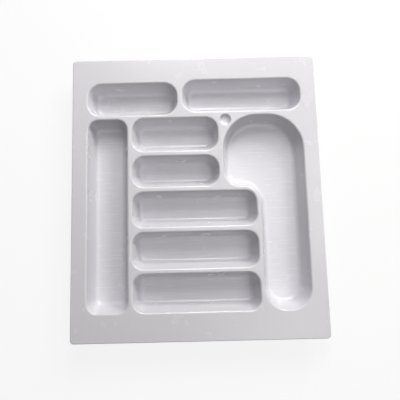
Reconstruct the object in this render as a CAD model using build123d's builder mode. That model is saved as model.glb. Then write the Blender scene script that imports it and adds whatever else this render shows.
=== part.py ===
from build123d import *
from math import hypot, sqrt
import os

# Cutlery tray for a kitchen drawer, vacuum formed from one sheet of glossy white polystyrene.
# The sheet is modelled as its named regions, which meet face to face: the deck that lies
# round and between the compartments, one tub for each compartment, and the cup of a dimple.
# Millimetres. Origin on the drawer floor under the middle of the tray, +X to the right,
# +Y to the back of the drawer, +Z up.

# Height of the deck above the drawer floor
tray_height = 42

# Sheet thickness: as supplied on the deck, thinner where it was drawn down into the mould
deck_sheet = 1.8
drawn_sheet = 1.2

# Plain borders of the deck outside the compartments
side_border = 27.4
front_border = 48
back_border = 40.9

# Outer edge of the deck: rounded corners, and a roll that ends in a short skirt
deck_corner = 6.5
edge_inner_roll = 1.2
skirt_straight = 2.5

# Slope of the compartment walls from the vertical, and the rounds at their mouths and floors
wall_draft = 13
mouth_roll = 1.4
floor_round = 8

# The most of a ridge's width, and of the sheet's thickness, that the roll of a mouth may take
ridge_share = 0.45
sheet_share = 0.9

# Long compartment down the left side
long_width = 69.5
long_corner = 18

# Three cutlery compartments in the middle column
cutlery_width = 216
cutlery_front_depth = 62.3
cutlery_middle_depth = 60.8
cutlery_back_depth = 59.2
cutlery_corner = 19

# Two small compartments behind them
small_front_depth = 53.6
small_back_depth = 58.2
small_corner = 22

# Two compartments across the back, the right one set back a little
back_left_width = 159.5
back_left_depth = 58.1
back_right_depth = 57.4
back_right_step = 4.4
back_corner = 24

# Utensil compartment: a leg down the right side that opens into a wide head
leg_width = 78.5
head_width = 141.3
leg_end_flat = 5.5
head_end_flat = 19.5
shelf_flat = 3.7
leg_corner_web = 11

# Ridges left between neighbouring mouths
long_side_ridge = 8.4
long_back_ridge = 8
cutlery_front_ridge = 8.9
cutlery_back_ridge = 9.9
small_front_ridge = 9.8
small_middle_ridge = 9.7
small_back_ridge = 6.9
back_middle_ridge = 9.7
leg_side_ridge = 7.8
head_side_ridge = 8.5
head_back_ridge = 8.3
shelf_ridge = 7.9

# Round dimple in the web between the small, back and utensil compartments; its share is how far
# across that web its centre stands, from the small compartment to the utensil one
dimple_diameter = 20
dimple_drop = 8
dimple_draft = 24
dimple_floor_round = 5
dimple_web = 6
dimple_share = 0.471

os.makedirs("parts", exist_ok=True)

deck_under = tray_height - deck_sheet
tub_drop = deck_under - drawn_sheet

# Left and right edges of the mouths
mouths_width = long_width + long_side_ridge + cutlery_width + leg_side_ridge + leg_width
left_edge = -mouths_width / 2
right_edge = left_edge + mouths_width
long_right = left_edge + long_width
column_left = long_right + long_side_ridge
cutlery_right = column_left + cutlery_width
leg_left = cutlery_right + leg_side_ridge
head_left = right_edge - head_width
small_right = head_left - head_side_ridge
back_left_right = left_edge + back_left_width
back_right_left = back_left_right + back_middle_ridge

# Where each mouth starts at its front and ends at its back, counted from the front of the first
cutlery_front_end = cutlery_front_depth
cutlery_middle_start = cutlery_front_end + cutlery_front_ridge
cutlery_middle_end = cutlery_middle_start + cutlery_middle_depth
cutlery_back_start = cutlery_middle_end + cutlery_back_ridge
cutlery_back_end = cutlery_back_start + cutlery_back_depth
small_front_start = cutlery_back_end + small_front_ridge
small_front_end = small_front_start + small_front_depth
small_back_start = small_front_end + small_middle_ridge
small_back_end = small_back_start + small_back_depth
back_left_start = small_back_end + small_back_ridge
back_left_end = back_left_start + back_left_depth
back_right_start = back_left_start + back_right_step
back_right_end = back_right_start + back_right_depth
long_end = back_left_start - long_back_ridge
head_end = back_right_start - head_back_ridge
shelf_start = cutlery_back_end + shelf_ridge

# The deck reaches its borders past the mouths, and the middle of the deck is the origin
tray_width = mouths_width + 2 * side_border
tray_depth = front_border + max(back_left_end, back_right_end) + back_border
front_edge = front_border - tray_depth / 2

# Rounds of the utensil compartment: its ends take what their flats leave over, and two rounds
# share the shelf, the inner one no larger than the web round the cutlery compartment allows, and
# the outer one no larger than the round at the other end of the head's side leaves room for
leg_end_round = (leg_width - leg_end_flat) / 2
head_end_round = (head_width - head_end_flat) / 2
head_side_rounds = head_end - shelf_start - shelf_flat
shelf_rounds = head_width - leg_width - shelf_flat
leg_corner_round = min(shelf_rounds / 2, cutlery_corner + leg_corner_web)
shelf_round = min(shelf_rounds - leg_corner_round, head_side_rounds - head_end_round)

# Place of the dimple, between the rounds of the small compartment and of the utensil head
dimple_radius = dimple_diameter / 2
dimple_y = back_right_start - dimple_web - dimple_radius
small_round_x = small_right - small_corner
small_round_y = small_back_end - small_corner
head_round_x = head_left + head_end_round
head_round_y = head_end - head_end_round
web_left = small_round_x + sqrt(small_corner**2 - (dimple_y - small_round_y) ** 2)
web_right = head_round_x - sqrt(head_end_round**2 - (dimple_y - head_round_y) ** 2)
dimple_x = web_left + dimple_share * (web_right - web_left)
small_round_gap = hypot(dimple_x - small_round_x, dimple_y - small_round_y)
head_round_gap = hypot(dimple_x - head_round_x, dimple_y - head_round_y)
dimple_small_web = small_round_gap - small_corner - dimple_radius
dimple_head_web = head_round_gap - head_end_round - dimple_radius


def oblong_mouth(left, right, front, back, corner):
    """Outline of a compartment with four equal corners, on the plan."""
    with BuildSketch() as mouth:
        with Locations(((left + right) / 2, front_edge + (front + back) / 2)):
            RectangleRounded(right - left, back - front, corner)
    return mouth.sketch


def utensil_mouth():
    """Outline of the utensil compartment, clockwise from the head's back left corner."""
    with BuildSketch() as mouth:
        with BuildLine():
            FilletPolyline(
                (head_left, front_edge + head_end),
                (right_edge, front_edge + head_end),
                (right_edge, front_edge),
                (leg_left, front_edge),
                (leg_left, front_edge + shelf_start),
                (head_left, front_edge + shelf_start),
                radius=(
                    head_end_round,
                    head_end_round,
                    leg_end_round,
                    leg_end_round,
                    leg_corner_round,
                    shelf_round,
                ),
                close=True,
            )
        make_face()
    return mouth.sketch


def dimple_mouth():
    """Outline of the dimple."""
    with BuildSketch() as mouth:
        with Locations((dimple_x, front_edge + dimple_y)):
            Circle(dimple_radius)
    return mouth.sketch


def drawn_shape(mouth, drop, draft, inner_round, thickness=0):
    """Space that a sheet drawn down through a mouth encloses, or with a thickness its outside."""
    with BuildPart() as shape:
        with BuildSketch(Plane.XY.offset(deck_under)):
            offset(mouth, amount=thickness)
        extrude(amount=-(drop + thickness), taper=draft)
        floor = shape.faces().sort_by(Axis.Z)[0]
        fillet(floor.edges(), inner_round + thickness)
    return shape.part


def rolled_slab(inset, roll):
    """Slab with a rolled top edge, this far inside the deck's outer face all round."""
    with BuildPart() as slab:
        with BuildSketch(Plane.XY.offset(tray_height - inset)):
            RectangleRounded(tray_width - 2 * inset, tray_depth - 2 * inset, deck_corner - inset)
        extrude(amount=-(roll + skirt_straight))
        fillet(slab.faces().sort_by(Axis.Z)[-1].edges(), roll)
    return slab.part


tub_mouths = {
    "long_tub": oblong_mouth(left_edge, long_right, 0, long_end, long_corner),
    "cutlery_front_tub": oblong_mouth(
        column_left, cutlery_right, 0, cutlery_front_end, cutlery_corner
    ),
    "cutlery_middle_tub": oblong_mouth(
        column_left, cutlery_right, cutlery_middle_start, cutlery_middle_end, cutlery_corner
    ),
    "cutlery_back_tub": oblong_mouth(
        column_left, cutlery_right, cutlery_back_start, cutlery_back_end, cutlery_corner
    ),
    "small_front_tub": oblong_mouth(
        column_left, small_right, small_front_start, small_front_end, small_corner
    ),
    "small_back_tub": oblong_mouth(
        column_left, small_right, small_back_start, small_back_end, small_corner
    ),
    "back_left_tub": oblong_mouth(
        left_edge, back_left_right, back_left_start, back_left_end, back_corner
    ),
    "back_right_tub": oblong_mouth(
        back_right_left, right_edge, back_right_start, back_right_end, back_corner
    ),
    "utensil_tub": utensil_mouth(),
}

# Compartment tubs, hanging under the deck and standing on the drawer floor
for name, mouth in tub_mouths.items():
    with BuildPart() as tub:
        add(drawn_shape(mouth, tub_drop, wall_draft, floor_round, drawn_sheet))
        add(drawn_shape(mouth, tub_drop, wall_draft, floor_round), mode=Mode.SUBTRACT)
    tub.part.label = name
    export_step(tub.part, f"parts/{name}.step")

# Cup of the dimple
cup_drop = dimple_drop - deck_sheet
with BuildPart() as dimple_cup:
    add(drawn_shape(dimple_mouth(), cup_drop, dimple_draft, dimple_floor_round, drawn_sheet))
    add(
        drawn_shape(dimple_mouth(), cup_drop, dimple_draft, dimple_floor_round),
        mode=Mode.SUBTRACT,
    )
dimple_cup.part.label = "dimple_cup"
export_step(dimple_cup.part, "parts/dimple_cup.step")

# Deck: a flat sheet with a rolled outer edge, open over every tub
ridges = (
    long_side_ridge,
    long_back_ridge,
    cutlery_front_ridge,
    cutlery_back_ridge,
    small_front_ridge,
    small_middle_ridge,
    small_back_ridge,
    back_middle_ridge,
    leg_side_ridge,
    head_side_ridge,
    head_back_ridge,
    shelf_ridge,
    dimple_web,
    dimple_small_web,
    dimple_head_web,
)
with BuildPart() as deck:
    add(rolled_slab(0, edge_inner_roll + deck_sheet))
    add(rolled_slab(deck_sheet, edge_inner_roll), mode=Mode.SUBTRACT)
    with BuildSketch(Plane.XY.offset(tray_height)):
        for mouth in tub_mouths.values():
            add(mouth)
        add(dimple_mouth())
    extrude(amount=-deck_sheet, mode=Mode.SUBTRACT)
    top = deck.faces().sort_by(Axis.Z)[-1]
    mouth_edges = [edge for wire in top.inner_wires() for edge in wire.edges()]
    fillet(mouth_edges, min(mouth_roll, ridge_share * min(ridges), sheet_share * deck_sheet))
deck.part.label = "deck"
export_step(deck.part, "parts/deck.step")

print(f"tray {tray_width:.1f} x {tray_depth:.1f} x {tray_height:.1f} mm")
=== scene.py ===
import math

import bmesh
import bpy
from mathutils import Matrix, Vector, noise


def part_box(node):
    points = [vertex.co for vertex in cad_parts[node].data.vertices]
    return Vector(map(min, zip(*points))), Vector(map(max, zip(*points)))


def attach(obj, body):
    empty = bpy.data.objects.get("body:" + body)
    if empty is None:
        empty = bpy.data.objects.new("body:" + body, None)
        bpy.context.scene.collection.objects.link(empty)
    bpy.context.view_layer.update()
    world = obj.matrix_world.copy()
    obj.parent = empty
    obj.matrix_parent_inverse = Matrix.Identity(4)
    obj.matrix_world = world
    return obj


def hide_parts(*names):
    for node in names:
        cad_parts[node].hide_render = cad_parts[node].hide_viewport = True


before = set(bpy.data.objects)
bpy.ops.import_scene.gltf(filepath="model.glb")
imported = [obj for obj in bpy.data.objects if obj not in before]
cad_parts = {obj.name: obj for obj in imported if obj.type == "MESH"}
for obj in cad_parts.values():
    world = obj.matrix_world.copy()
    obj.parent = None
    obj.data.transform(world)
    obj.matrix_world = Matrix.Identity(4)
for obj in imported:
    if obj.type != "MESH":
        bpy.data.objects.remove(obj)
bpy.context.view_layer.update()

# Metres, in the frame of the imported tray: origin on the drawer floor under its middle
MM = 0.001

# Sheet thickness on the deck, and in the tubs where the sheet was drawn down
DECK_SHEET = 1.5 * MM
DRAWN_SHEET = 1.2 * MM

# Outer edge of the deck, and the corners of the compartments' mouths
EDGE_ROLL = 1.6 * MM
DECK_CORNER = 6.5 * MM
MOUTH_CORNERS = {
    "long_tub": 18 * MM,
    "cutlery_front_tub": 19 * MM,
    "cutlery_middle_tub": 19 * MM,
    "cutlery_back_tub": 19 * MM,
    "small_front_tub": 22 * MM,
    "small_back_tub": 22 * MM,
    "back_left_tub": 24 * MM,
    "back_right_tub": 24 * MM,
}

# Utensil compartment: a narrow leg that opens into a head over a shelf with two rounds
LEG_WIDTH = 78.5 * MM
SHELF_RIDGE = 7.9 * MM
LEG_END_FLAT = 5.5 * MM
HEAD_END_FLAT = 19.5 * MM
SHELF_FLAT = 3.7 * MM

# Section through a compartment's wall
WALL_DRAFT = math.radians(13)
MOUTH_ROLL = 3.3 * MM
FLOOR_ROUND = 8 * MM

# Section through the dimple
DIMPLE_DRAFT = math.radians(24)
DIMPLE_ROLL = 1.4 * MM
DIMPLE_ROUND = 4.5 * MM

# How finely the sheet is divided
CORNER_STEPS = 20
ROLL_STEPS = 6
WALL_STEPS = 6
ROUND_STEPS = 9
STRAIGHT_STEP = 9 * MM
CIRCLE_STEPS = 56

# Lasting bends of the thin sheet: how far its ridges and its deck stray, over what length, how far
# in from the outer edge they reach their full size, and the seed that keeps them the same
RIDGE_STRAY = 0.55 * MM
DECK_STRAY = 0.25 * MM
STRAY_LENGTH = 95 * MM
STRAY_BORDER = 30 * MM
STRAY_SEED = 7

# Sharp rims of the cut sheet, softened, and how much large faces lead the shading of the rounds
RIM_ROUND = 0.3 * MM
RIM_STEPS = 2
RIM_ANGLE = math.radians(60)
LARGE_FACE_WEIGHT = 80

# Patterns of the sheet's skin: their sizes, their depths, and how far lines are drawn out. Of
# handling and rubs, also the heights of the pattern between which the gloss changes
PIGMENT_PATCH = 140 * MM
WAVE_LENGTH = 60 * MM
WAVE_DEPTH = 0.15 * MM
PEEL_LENGTH = 2.5 * MM
PEEL_DEPTH = 0.002 * MM
DRAW_LINE_WIDTH = 3 * MM
DRAW_LINE_DEPTH = 0.0015 * MM
DRAW_LINE_SQUEEZE = 0.03
HANDLED_PATCH = 25 * MM
HANDLED_FROM = 0.3
HANDLED_TO = 0.7
RUB_WIDTH = 2 * MM
RUB_SQUEEZE = 0.05
RUB_FROM = 0.55
RUB_TO = 0.75

# Gloss of the sheet: its roughness where it is least and most handled, what a rub adds to it, and
# the refractive index of polystyrene
LEAST_ROUGHNESS = 0.22
MOST_ROUGHNESS = 0.28
RUB_ROUGHNESS = 0.08
POLYSTYRENE_IOR = 1.59

# Studio floor: its reach each way, its gap under the tray, so that their faces don't share a plane,
# and the share of plain white in what the camera and gloss see of it
FLOOR_REACH = 6
FLOOR_GAP = 0.2 * MM
FLOOR_WHITE = 0.85

# Strength of the even light from all round
ROOM_LIGHT = 0.03

WHITE = (1, 1, 1, 1)

deck_low, deck_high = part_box("deck")
deck_top = deck_high.z


def placed(name, bm):
    """Turns a bmesh into an object of the scene, with its place in its mesh."""
    mesh = bpy.data.meshes.new(name)
    bm.to_mesh(mesh)
    bm.free()
    shape = bpy.data.objects.new(name, mesh)
    bpy.context.collection.objects.link(shape)
    return shape


def rectangle(low, high, radius):
    """Corners of an oblong outline, anticlockwise from the front left, each with its radius."""
    places = ((low.x, low.y), (high.x, low.y), (high.x, high.y), (low.x, high.y))
    return [(Vector(place), radius) for place in places]


def mouth_of(tub):
    """Lowest and highest corner of a compartment's mouth, which is inside the tub's drawn wall."""
    low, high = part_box(tub)
    wall = Vector((DRAWN_SHEET, DRAWN_SHEET, 0))
    return low + wall, high - wall


def utensil_outline():
    """Corners of the utensil compartment's mouth, anticlockwise from the leg's front left."""
    low, high = mouth_of("utensil_tub")
    leg_left = high.x - LEG_WIDTH
    shelf = mouth_of("cutlery_back_tub")[1].y + SHELF_RIDGE
    leg_round = (LEG_WIDTH - LEG_END_FLAT) / 2
    head_round = (high.x - low.x - HEAD_END_FLAT) / 2
    shelf_round = (leg_left - low.x - SHELF_FLAT) / 2
    return [
        (Vector((leg_left, low.y)), leg_round),
        (Vector((high.x, low.y)), leg_round),
        (Vector((high.x, high.y)), head_round),
        (Vector((low.x, high.y)), head_round),
        (Vector((low.x, shelf)), shelf_round),
        (Vector((leg_left, shelf)), shelf_round),
    ]


def grown(corners, amount):
    """The same outline, this much further out all round."""
    moved = []
    for i, (place, radius) in enumerate(corners):
        before = (place - corners[i - 1][0]).normalized()
        after = (corners[(i + 1) % len(corners)][0] - place).normalized()
        outward = Vector((before.y + after.y, -before.x - after.x))
        turn = 1 if before.cross(after) > 0 else -1
        moved.append((place + amount * outward, radius + turn * amount))
    return moved


def outline_face(bm, corners, height):
    """A level face with these rounded corners and its straight sides divided."""
    verts = [bm.verts.new((*place, height)) for place, radius in corners]
    bm.faces.new(verts)
    for vert, (place, radius) in zip(verts, corners):
        rounded = bmesh.ops.bevel(
            bm, geom=[vert], offset=radius, offset_type="OFFSET", affect="VERTICES",
            segments=CORNER_STEPS, profile=0.5, material=-1,
        )
    face = rounded["verts"][0].link_faces[0]
    for edge in list(face.edges):
        cuts = int(edge.calc_length() / STRAIGHT_STEP)
        if cuts:
            bmesh.ops.subdivide_edges(bm, edges=[edge], cuts=cuts)
    return face


def draw_in(bm, face, section):
    """Draws a face inwards along a section of (in, down) points, and leaves its wall behind."""
    for (in_before, down_before), (in_after, down_after) in zip(section, section[1:]):
        bmesh.ops.inset_region(
            bm, faces=[face], thickness=in_after - in_before, depth=down_before - down_after,
            use_boundary=True, use_even_offset=True,
        )


def cup_section(depth, draft, roll, floor_round):
    """Section from the flat deck over a rolled mouth, down a sloping wall and round to a floor."""
    turn = math.pi / 2 - draft
    wall = depth - (roll + floor_round) * (1 - math.sin(draft))
    points = []
    for i in range(ROLL_STEPS + 1):
        angle = turn * i / ROLL_STEPS
        points.append((roll * math.sin(angle), roll * (1 - math.cos(angle))))
    wall_in, wall_down = points[-1]
    for i in range(1, WALL_STEPS + 1):
        step = wall * i / WALL_STEPS
        points.append((wall_in + step * math.tan(draft), wall_down + step))
    round_in, round_down = points[-1]
    for i in range(1, ROUND_STEPS + 1):
        angle = turn * (1 - i / ROUND_STEPS)
        inward = floor_round * (math.sin(turn) - math.sin(angle))
        down = floor_round * (math.cos(angle) - math.cos(turn))
        points.append((round_in + inward, round_down + down))
    return points


def edge_section():
    """Section up the skirt of the deck and over its rolled edge, from the skirt's lower rim."""
    skirt = deck_top - deck_low.z - EDGE_ROLL
    points = [(0, 0), (0, -skirt)]
    for i in range(1, ROLL_STEPS + 1):
        angle = math.pi / 2 * i / ROLL_STEPS
        points.append((EDGE_ROLL * (1 - math.cos(angle)), -skirt - EDGE_ROLL * math.sin(angle)))
    return points


def rolled_edge(bm):
    """The skirt and the rolled edge of the deck, open where its flat comes."""
    edge = outline_face(bm, rectangle(deck_low, deck_high, DECK_CORNER), deck_low.z)
    draw_in(bm, edge, edge_section())
    bmesh.ops.delete(bm, geom=[edge], context="FACES_ONLY")


def drawn_compartments(bm):
    """Every compartment, from the rim of its roll down to its floor."""
    solid_deck = deck_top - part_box("long_tub")[1].z
    depth = deck_top - DRAWN_SHEET
    section = cup_section(depth, WALL_DRAFT, MOUTH_ROLL, FLOOR_ROUND)

    # A mouth's size holds at the underside of the solid deck, so the roll starts outside it
    at_wall, at_wall_down = section[ROLL_STEPS]
    rim = at_wall + (solid_deck - at_wall_down) * math.tan(WALL_DRAFT)
    outlines = [rectangle(*mouth_of(tub), radius) for tub, radius in MOUTH_CORNERS.items()]
    for outline in [*outlines, utensil_outline()]:
        draw_in(bm, outline_face(bm, grown(outline, rim), deck_top), section)


def drawn_dimple(bm):
    """The round dimple, from the rim of its roll down to its floor."""
    low, high = mouth_of("dimple_cup")
    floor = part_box("dimple_cup")[0].z + DRAWN_SHEET
    section = cup_section(deck_top - floor, DIMPLE_DRAFT, DIMPLE_ROLL, DIMPLE_ROUND)
    rim = (high.x - low.x) / 2 + section[ROLL_STEPS][0]
    circle = bmesh.ops.create_circle(bm, cap_ends=True, radius=rim, segments=CIRCLE_STEPS)
    middle = (low + high) / 2
    bmesh.ops.translate(bm, vec=(middle.x, middle.y, deck_top), verts=circle["verts"])
    draw_in(bm, circle["verts"][0].link_faces[0], section)


def flat_deck(bm):
    """The flat of the deck, from its rolled edge to the rim of every mouth."""
    near_top = deck_top - EDGE_ROLL / ROLL_STEPS
    open_edges = [e for e in bm.edges if e.is_boundary and min(v.co.z for v in e.verts) > near_top]
    bmesh.ops.triangle_fill(
        bm, use_beauty=True, use_dissolve=False, edges=open_edges, normal=(0, 0, 1),
    )


def stray(place):
    """How far the sheet has strayed here: sideways at its ridges, and up or down on its deck."""
    to_side = min(place.x - deck_low.x, deck_high.x - place.x)
    to_end = min(place.y - deck_low.y, deck_high.y - place.y)
    inside = min(1, max(0, min(to_side, to_end) / STRAY_BORDER))
    raised = max(0, place.z / deck_top)
    bend = noise.noise_vector(Vector((place.x, place.y, 0)) / STRAY_LENGTH)
    sideways = RIDGE_STRAY * inside * raised
    return Vector((bend.x * sideways, bend.y * sideways, bend.z * DECK_STRAY * inside * raised))


def thin_where_drawn(sheet):
    """Gives the sheet its thickness, less where it was drawn deeper, and softens its cut rim."""
    thickness = sheet.vertex_groups.new(name="thickness")
    for vert in sheet.data.vertices:
        share = min(1, max(0, vert.co.z / deck_top))
        kept = DRAWN_SHEET + (DECK_SHEET - DRAWN_SHEET) * share
        thickness.add([vert.index], kept / DECK_SHEET, "REPLACE")
    solid = sheet.modifiers.new("thickness", "SOLIDIFY")
    solid.thickness = DECK_SHEET
    solid.offset = -1
    solid.use_even_offset = True
    solid.vertex_group = "thickness"
    rim = sheet.modifiers.new("rim", "BEVEL")
    rim.width = RIM_ROUND
    rim.segments = RIM_STEPS
    rim.limit_method = "ANGLE"
    rim.angle_limit = RIM_ANGLE
    shading = sheet.modifiers.new("shading", "WEIGHTED_NORMAL")
    shading.mode = "FACE_AREA"
    shading.weight = LARGE_FACE_WEIGHT


def formed_sheet():
    """The whole tray as one sheet: rolled edge, compartments, dimple and the deck between them."""
    bm = bmesh.new()
    rolled_edge(bm)
    drawn_compartments(bm)
    drawn_dimple(bm)
    flat_deck(bm)
    noise.seed_set(STRAY_SEED)
    for vert in bm.verts:
        vert.co += stray(vert.co)
    for face in bm.faces:
        face.smooth = True
    sheet = placed("formed_sheet", bm)
    thin_where_drawn(sheet)
    return sheet


def linear(hex_colour):
    """Linear RGBA of an sRGB colour written as six hex digits."""
    channels = [int(hex_colour[i:i + 2], 16) / 255 for i in (0, 2, 4)]
    return (*[c / 12.92 if c <= 0.04045 else ((c + 0.055) / 1.055) ** 2.4 for c in channels], 1)


def add_node(tree, kind, settings=None, **inputs):
    """Adds a node with its settings. An input, by name or by _number, is a value or a socket."""
    node = tree.nodes.new(kind)
    for name, value in (settings or {}).items():
        setattr(node, name, value)
    for name, value in inputs.items():
        socket = node.inputs[int(name[1:]) if name[1:].isdigit() else name.replace("_", " ")]
        if isinstance(value, bpy.types.NodeSocket):
            tree.links.new(value, socket)
        else:
            socket.default_value = value
    return node


def new_material(name):
    """An empty material with its output node."""
    material = bpy.data.materials.new(name)
    material.use_nodes = True
    material.node_tree.nodes.clear()
    return material, material.node_tree, material.node_tree.nodes.new("ShaderNodeOutputMaterial")


def sheet_pigment(tree, place):
    """White pigment, a shade uneven from place to place."""
    tone = add_node(tree, "ShaderNodeTexNoise", Vector=place, Scale=1 / PIGMENT_PATCH, Detail=2.0)
    return add_node(
        tree, "ShaderNodeMix", {"data_type": "RGBA"}, _0=tone.outputs["Fac"],
        _6=linear("D3D1D6"), _7=linear("D7D5DA"),
    ).outputs[2]


def sheet_relief(tree, place):
    """The skin's relief: slow waves, fine orange peel, and draw lines along the sheet."""
    # Waves where the sheet cooled off the mould
    wave = add_node(tree, "ShaderNodeTexNoise", Vector=place, Scale=1 / WAVE_LENGTH, Detail=0.0)
    waves = add_node(
        tree, "ShaderNodeBump", Strength=1.0, Distance=WAVE_DEPTH, Height=wave.outputs["Fac"],
    )
    peel = add_node(tree, "ShaderNodeTexNoise", Vector=place, Scale=1 / PEEL_LENGTH, Detail=0.0)
    peels = add_node(
        tree, "ShaderNodeBump", Strength=1.0, Distance=PEEL_DEPTH, Height=peel.outputs["Fac"],
        Normal=waves.outputs["Normal"],
    )

    # Draw lines of the extruder, coarser than the real ones of about 0.5 mm so that they show
    along = add_node(tree, "ShaderNodeMapping", Vector=place, Scale=(1, DRAW_LINE_SQUEEZE, 1))
    line = add_node(
        tree, "ShaderNodeTexNoise", Vector=along.outputs[0], Scale=1 / DRAW_LINE_WIDTH, Detail=1.0,
    )
    return add_node(
        tree, "ShaderNodeBump", Strength=1.0, Distance=DRAW_LINE_DEPTH, Height=line.outputs["Fac"],
        Normal=peels.outputs["Normal"],
    ).outputs["Normal"]


def sheet_gloss(tree, place):
    """Roughness from handling, and from fine rubs across the floors where cutlery has lain."""
    handling = add_node(
        tree, "ShaderNodeTexNoise", Vector=place, Scale=1 / HANDLED_PATCH, Detail=4.0,
    )
    handled = add_node(
        tree, "ShaderNodeMapRange", _0=handling.outputs["Fac"], _1=HANDLED_FROM, _2=HANDLED_TO,
        _3=LEAST_ROUGHNESS, _4=MOST_ROUGHNESS,
    )
    across = add_node(tree, "ShaderNodeMapping", Vector=place, Scale=(RUB_SQUEEZE, 1, 1))
    rub = add_node(
        tree, "ShaderNodeTexNoise", Vector=across.outputs[0], Scale=1 / RUB_WIDTH, Detail=2.0,
    )
    rubbed = add_node(
        tree, "ShaderNodeMapRange", _0=rub.outputs["Fac"], _1=RUB_FROM, _2=RUB_TO,
        _3=0.0, _4=RUB_ROUGHNESS,
    )
    height = add_node(tree, "ShaderNodeSeparateXYZ", Vector=place)
    on_floor = add_node(
        tree, "ShaderNodeMapRange", _0=height.outputs["Z"], _1=FLOOR_ROUND, _2=DRAWN_SHEET,
        _3=0.0, _4=1.0,
    )
    floor_rub = add_node(
        tree, "ShaderNodeMath", {"operation": "MULTIPLY"},
        _0=rubbed.outputs[0], _1=on_floor.outputs[0],
    )
    return add_node(
        tree, "ShaderNodeMath", {"operation": "ADD"},
        _0=handled.outputs[0], _1=floor_rub.outputs[0],
    ).outputs[0]


def vacuum_formed_polystyrene():
    """High-impact polystyrene sheet, vacuum formed: white, with a soft gloss over an uneven skin."""
    material, tree, output = new_material("vacuum_formed_polystyrene")
    place = add_node(tree, "ShaderNodeTexCoord").outputs["Object"]
    shader = add_node(
        tree, "ShaderNodeBsdfPrincipled", Base_Color=sheet_pigment(tree, place),
        Normal=sheet_relief(tree, place), Roughness=sheet_gloss(tree, place), IOR=POLYSTYRENE_IOR,
    )
    tree.links.new(shader.outputs[0], output.inputs["Surface"])
    return material


def seen_directly(tree):
    """One for rays from the camera, and for what gloss and glass show, else nothing."""
    path = add_node(tree, "ShaderNodeLightPath")
    gloss = add_node(
        tree, "ShaderNodeMath", {"operation": "MAXIMUM"},
        _0=path.outputs["Is Camera Ray"], _1=path.outputs["Is Glossy Ray"],
    )
    return add_node(
        tree, "ShaderNodeMath", {"operation": "MAXIMUM"},
        _0=gloss.outputs[0], _1=path.outputs["Is Transmission Ray"],
    ).outputs[0]


def studio_floor_paper():
    """Matt white paper: close to plain white where it is seen, with a faint shadow of the tray."""
    material, tree, output = new_material("studio_floor_paper")
    paper = add_node(tree, "ShaderNodeBsdfDiffuse", Color=linear("F0F0F0"))
    white = add_node(tree, "ShaderNodeEmission", Color=WHITE, Strength=1.0)
    share = add_node(
        tree, "ShaderNodeMath", {"operation": "MULTIPLY"}, _0=seen_directly(tree), _1=FLOOR_WHITE,
    )
    mix = add_node(
        tree, "ShaderNodeMixShader", _0=share.outputs[0], _1=paper.outputs[0], _2=white.outputs[0],
    )
    tree.links.new(mix.outputs[0], output.inputs["Surface"])
    return material


def studio_floor():
    """A wide pale floor, just under the tray."""
    bm = bmesh.new()
    bmesh.ops.create_grid(bm, x_segments=1, y_segments=1, size=FLOOR_REACH)
    bmesh.ops.translate(bm, vec=(0, 0, -FLOOR_GAP), verts=bm.verts)
    floor = placed("studio_floor", bm)
    floor.data.materials.append(studio_floor_paper())


def studio_world():
    """Even soft light from all round, white where it is looked at."""
    world = bpy.data.worlds.new("studio_world")
    bpy.context.scene.world = world
    world.use_nodes = True
    tree = world.node_tree
    tree.nodes.clear()
    output = tree.nodes.new("ShaderNodeOutputWorld")
    light = add_node(tree, "ShaderNodeBackground", Color=linear("F4F4F4"), Strength=ROOM_LIGHT)
    white = add_node(tree, "ShaderNodeBackground", Color=WHITE, Strength=1.0)
    mix = add_node(
        tree, "ShaderNodeMixShader", _0=seen_directly(tree),
        _1=light.outputs[0], _2=white.outputs[0],
    )
    tree.links.new(mix.outputs[0], output.inputs["Surface"])


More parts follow.
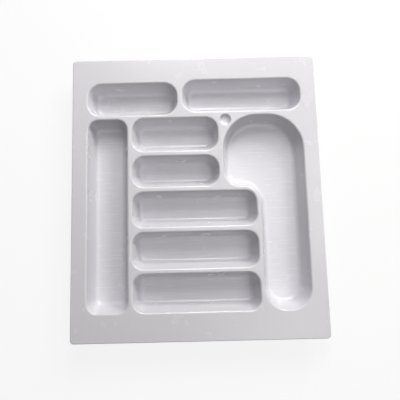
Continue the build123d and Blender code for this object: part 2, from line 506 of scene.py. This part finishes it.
def softbox(name, bearing, elevation, distance, width, height, power, colour="FFFFFF"):
    """A rectangular lamp that faces the tray, its bearing in degrees anticlockwise from the right."""
    level = distance * math.cos(math.radians(elevation))
    place = Vector((
        level * math.cos(math.radians(bearing)),
        level * math.sin(math.radians(bearing)),
        distance * math.sin(math.radians(elevation)),
    ))
    lamp = bpy.data.lights.new(name, "AREA")
    lamp.shape = "RECTANGLE"
    lamp.size = width
    lamp.size_y = height
    lamp.energy = power
    lamp.color = linear(colour)[:3]
    holder = bpy.data.objects.new(name, lamp)
    holder.location = place
    holder.rotation_euler = (-place).to_track_quat("-Z", "Y").to_euler()
    bpy.context.collection.objects.link(holder)


def studio_lamps():
    """Four lamps behind the tray, one large one above it, and weak fill from right and front."""
    softbox("window_top", bearing=100, elevation=54, distance=1.6, width=0.3, height=0.3, power=2.0)
    softbox("window_middle", bearing=85, elevation=46, distance=1.6, width=0.3, height=0.5, power=8.6)
    softbox("window_left", bearing=85, elevation=30, distance=1.6, width=0.3, height=0.5, power=5.3)
    softbox(
        "window_right", bearing=55, elevation=30, distance=1.6, width=0.3, height=0.5, power=13.0,
        colour="FFFDF8",
    )
    softbox("ceiling", bearing=0, elevation=85, distance=1.6, width=0.8, height=0.8, power=1.9)
    softbox("right_fill", bearing=0, elevation=55, distance=1.3, width=0.5, height=0.5, power=2.2)
    softbox("front_fill", bearing=300, elevation=55, distance=1.3, width=0.5, height=0.5, power=1.5)


def photo_camera():
    """Camera at the photograph's viewing angle, from its optical axis and focal length in pixels."""
    frame_pixels = 400
    axis_pixel_x = 184.5
    axis_pixel_y = 150.5
    focal_pixels = 470.3
    turn_degrees = (8.56, 0.234, -1.355)
    data = bpy.data.cameras.new("photo_camera")
    data.sensor_width = 36
    data.lens = focal_pixels * data.sensor_width / frame_pixels
    data.shift_x = 0.5 - axis_pixel_x / frame_pixels
    data.shift_y = axis_pixel_y / frame_pixels - 0.5
    camera = bpy.data.objects.new("photo_camera", data)
    camera.location = (-18.8 * MM, -46.9 * MM, 860.9 * MM)
    camera.rotation_euler = [math.radians(angle) for angle in turn_degrees]
    bpy.context.collection.objects.link(camera)
    bpy.context.scene.camera = camera


bpy.context.scene.view_settings.view_transform = "Standard"
photo_camera()
studio_world()
studio_floor()
studio_lamps()

sheet = formed_sheet()
sheet.data.materials.append(vacuum_formed_polystyrene())
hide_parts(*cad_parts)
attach(sheet, "root")
